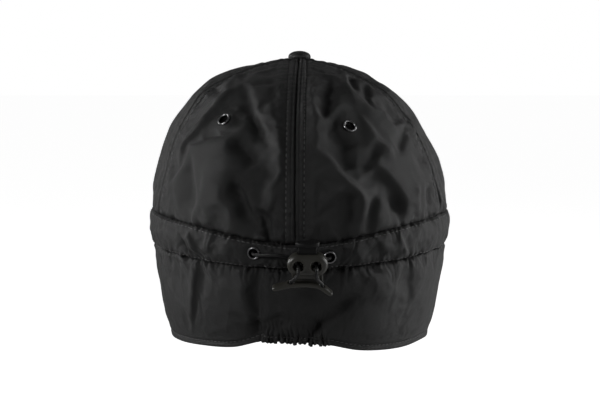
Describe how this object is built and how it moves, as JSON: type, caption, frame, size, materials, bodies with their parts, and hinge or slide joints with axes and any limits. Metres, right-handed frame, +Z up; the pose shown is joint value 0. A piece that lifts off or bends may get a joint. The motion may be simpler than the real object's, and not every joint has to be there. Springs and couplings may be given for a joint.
{
  "type": "earflap cap",
  "caption": "Nylon cap with a peak, a panelled crown, flaps over ears and nape, and a drawcord with a sprung lock.",
  "frame": {"origin": "middle of the head opening, level with the tunnel's lower stitch line at the nape, where a head holds the cap", "axes": "+Z up the head, +Y the way the wearer faces, out over the peak, and +X to the wearer's right"},
  "size_m": [0.1804, 0.2929, 0.1703],
  "materials": {
    "shell_cloth": "crinkled matt black nylon",
    "peak_cloth": "black nylon drawn over a firm board",
    "button_cloth": "black cloth drawn over a button",
    "eyelet_metal": "black nickel, polished",
    "cord": "braided black elastic cord",
    "lock_plastic": "moulded dark grey plastic, half gloss",
    "plunger_plastic": "moulded black plastic, nearly matt"
  },
  "bodies": {
    "cap": {"crown_panel_back_right": "shell_cloth", "crown_panel_side_right": "shell_cloth", "crown_panel_front_right": "shell_cloth", "crown_panel_front_left": "shell_cloth", "crown_panel_side_left": "shell_cloth", "crown_panel_back_left": "shell_cloth", "drawcord_tunnel": "shell_cloth", "ear_flap": "shell_cloth", "peak": "peak_cloth", "top_button": "button_cloth", "eyelet_vent_left": "eyelet_metal", "eyelet_vent_right": "eyelet_metal", "eyelet_cord_left": "eyelet_metal", "eyelet_cord_right": "eyelet_metal", "drawcord_left": "cord", "drawcord_right": "cord", "cord_lock_body": "lock_plastic"},
    "plunger": {"cord_lock_plunger": "plunger_plastic"}
  },
  "joints": [
    {"name": "plunger_press", "type": "slide", "parent": "cap", "child": "plunger", "axis": [0, -0.2079, 0.9781], "range_m": [-0.0027, 0], "stiffness_N_per_m": 500, "springref_m": 0.0015}
  ]
}
